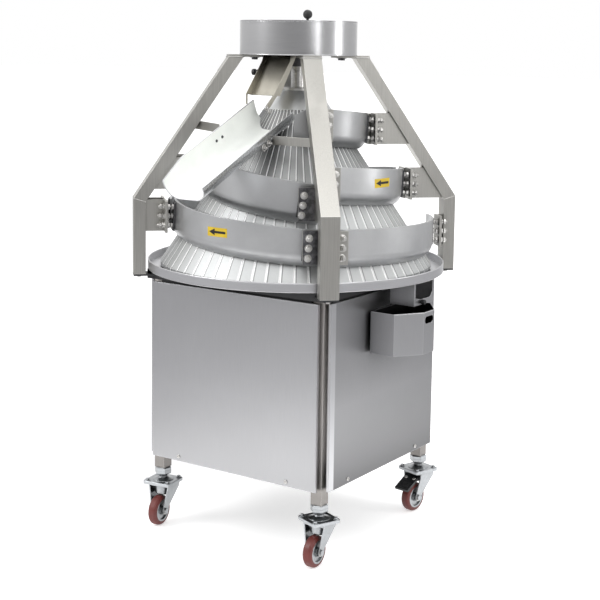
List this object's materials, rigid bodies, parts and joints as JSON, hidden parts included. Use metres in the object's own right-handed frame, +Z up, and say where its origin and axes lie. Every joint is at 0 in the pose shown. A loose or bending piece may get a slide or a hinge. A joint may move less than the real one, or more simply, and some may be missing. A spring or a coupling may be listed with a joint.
{
  "type": "dough rounder",
  "caption": "Conical dough rounder: a ribbed cone turns inside a climbing guide track, under a flour drum on bent legs, above a square cabinet on casters.",
  "frame": {"origin": "on the floor below the cone's axis", "axes": "+Z up along the cone's axis, -Y out of the front panel where the chute ends, +X out of the panel with the catch bin"},
  "size_m": [1.0144, 1.1125, 1.7363],
  "materials": {
    "panel_steel": "brushed stainless sheet",
    "frame_steel": "brushed stainless tube and plate",
    "chute_steel": "bright polished stainless sheet",
    "screw_steel": "bright machined steel",
    "cast_aluminium": "satin cast aluminium",
    "cone_aluminium": "bright machined aluminium",
    "dark_plate": "dark satin coating",
    "zinc": "zinc-plated pressed steel",
    "tyre_red": "red-brown polyurethane",
    "black_plastic": "black moulded plastic",
    "green_plastic": "green moulded plastic",
    "red_plastic": "red moulded plastic"
  },
  "bodies": {
    "frame": {"corner_posts": "frame_steel", "frame_rails": "frame_steel", "front_panel": "panel_steel", "right_panel": "panel_steel", "rear_panel": "panel_steel", "left_panel": "panel_steel", "frame_screws": "screw_steel", "deck": "panel_steel", "tray": "panel_steel", "flour_spout": "panel_steel", "bin_hook": "panel_steel", "front_leg": "frame_steel", "left_leg": "frame_steel", "right_leg": "frame_steel", "rear_leg": "frame_steel", "drum_shell": "panel_steel", "lid_fixed": "panel_steel", "flour_hood": "panel_steel", "chute": "chute_steel", "chute_bars": "frame_steel", "lower_track_1": "cast_aluminium", "lower_track_2": "cast_aluminium", "lower_track_3": "cast_aluminium", "lower_track_4": "cast_aluminium", "middle_track_1": "cast_aluminium", "middle_track_2": "cast_aluminium", "middle_track_3": "cast_aluminium", "middle_track_4": "cast_aluminium", "upper_track": "cast_aluminium", "track_brackets": "frame_steel", "track_studs": "screw_steel", "joint_plates": "dark_plate", "upper_bearing": "dark_plate", "gearbox": "cast_aluminium", "motor": "dark_plate", "caster_stems": "zinc", "switch_box": "black_plastic"},
    "rotor": {"main_shaft": "screw_steel", "cone": "cone_aluminium", "cone_cap": "cone_aluminium", "agitator": "frame_steel"},
    "lid": {"lid_flap": "panel_steel", "lid_knob": "black_plastic"},
    "bin": {"catch_bin": "panel_steel"},
    "start": {"start_button": "green_plastic"},
    "stop": {"stop_button": "red_plastic"},
    "right_pedal": {"right_brake_pedal": "black_plastic"},
    "rear_pedal": {"rear_brake_pedal": "black_plastic"},
    "front_swivel": {"front_fork": "zinc"},
    "front_wheel": {"front_hub": "zinc", "front_tyre": "tyre_red"},
    "left_swivel": {"left_fork": "zinc"},
    "left_wheel": {"left_hub": "zinc", "left_tyre": "tyre_red"},
    "right_swivel": {"right_fork": "zinc"},
    "right_wheel": {"right_hub": "zinc", "right_tyre": "tyre_red"},
    "rear_swivel": {"rear_fork": "zinc"},
    "rear_wheel": {"rear_hub": "zinc", "rear_tyre": "tyre_red"}
  },
  "joints": [
    {"name": "cone_spin", "type": "hinge", "parent": "frame", "child": "rotor", "pos_m": [0, 0, 1.2], "axis": [0, 0, -1], "continuous": true},
    {"name": "lid_hinge", "type": "hinge", "parent": "frame", "child": "lid", "pos_m": [0, 0, 1.7008], "axis": [-0.7071, -0.7071, 0], "range_deg": [0, 105]},
    {"name": "bin_lift", "type": "slide", "parent": "frame", "child": "bin", "axis": [0, 0, 1], "range_m": [0, 0.012]},
    {"name": "front_swivel_turn", "type": "hinge", "parent": "frame", "child": "front_swivel", "pos_m": [0.3175, -0.3175, 0.136], "axis": [0, 0, 1], "continuous": true},
    {"name": "front_wheel_spin", "type": "hinge", "parent": "front_swivel", "child": "front_wheel", "pos_m": [0.31841, -0.34348, 0.05], "axis": [-0.9994, -0.0349, 0], "continuous": true},
    {"name": "left_swivel_turn", "type": "hinge", "parent": "frame", "child": "left_swivel", "pos_m": [-0.3175, -0.3175, 0.136], "axis": [0, 0, 1], "continuous": true},
    {"name": "left_wheel_spin", "type": "hinge", "parent": "left_swivel", "child": "left_wheel", "pos_m": [-0.31388, -0.34325, 0.05], "axis": [-0.9903, -0.1392, 0], "continuous": true},
    {"name": "right_swivel_turn", "type": "hinge", "parent": "frame", "child": "right_swivel", "pos_m": [0.3175, 0.3175, 0.136], "axis": [0, 0, 1], "continuous": true},
    {"name": "right_wheel_spin", "type": "hinge", "parent": "right_swivel", "child": "right_wheel", "pos_m": [0.31388, 0.29175, 0.05], "axis": [-0.9903, 0.1392, 0], "continuous": true},
    {"name": "right_brake_press", "type": "hinge", "parent": "right_swivel", "child": "right_pedal", "pos_m": [0.31416, 0.29373, 0.1225], "axis": [0.9903, -0.1392, 0], "range_deg": [0, 12], "stiffness_Nm_per_rad": 2},
    {"name": "rear_swivel_turn", "type": "hinge", "parent": "frame", "child": "rear_swivel", "pos_m": [-0.3175, 0.3175, 0.136], "axis": [0, 0, 1], "continuous": true},
    {"name": "rear_wheel_spin", "type": "hinge", "parent": "rear_swivel", "child": "rear_wheel", "pos_m": [-0.32639, 0.29307, 0.05], "axis": [-0.9397, 0.342, 0], "continuous": true},
    {"name": "rear_brake_press", "type": "hinge", "parent": "rear_swivel", "child": "rear_pedal", "pos_m": [-0.32571, 0.29495, 0.1225], "axis": [0.9397, -0.342, 0], "range_deg": [0, 12], "stiffness_Nm_per_rad": 2},
    {"name": "start_press", "type": "slide", "parent": "frame", "child": "start", "axis": [1, 0, 0], "range_m": [0, 0.004], "stiffness_N_per_m": 300},
    {"name": "stop_press", "type": "slide", "parent": "frame", "child": "stop", "axis": [1, 0, 0], "range_m": [0, 0.004], "stiffness_N_per_m": 300}
  ]
}
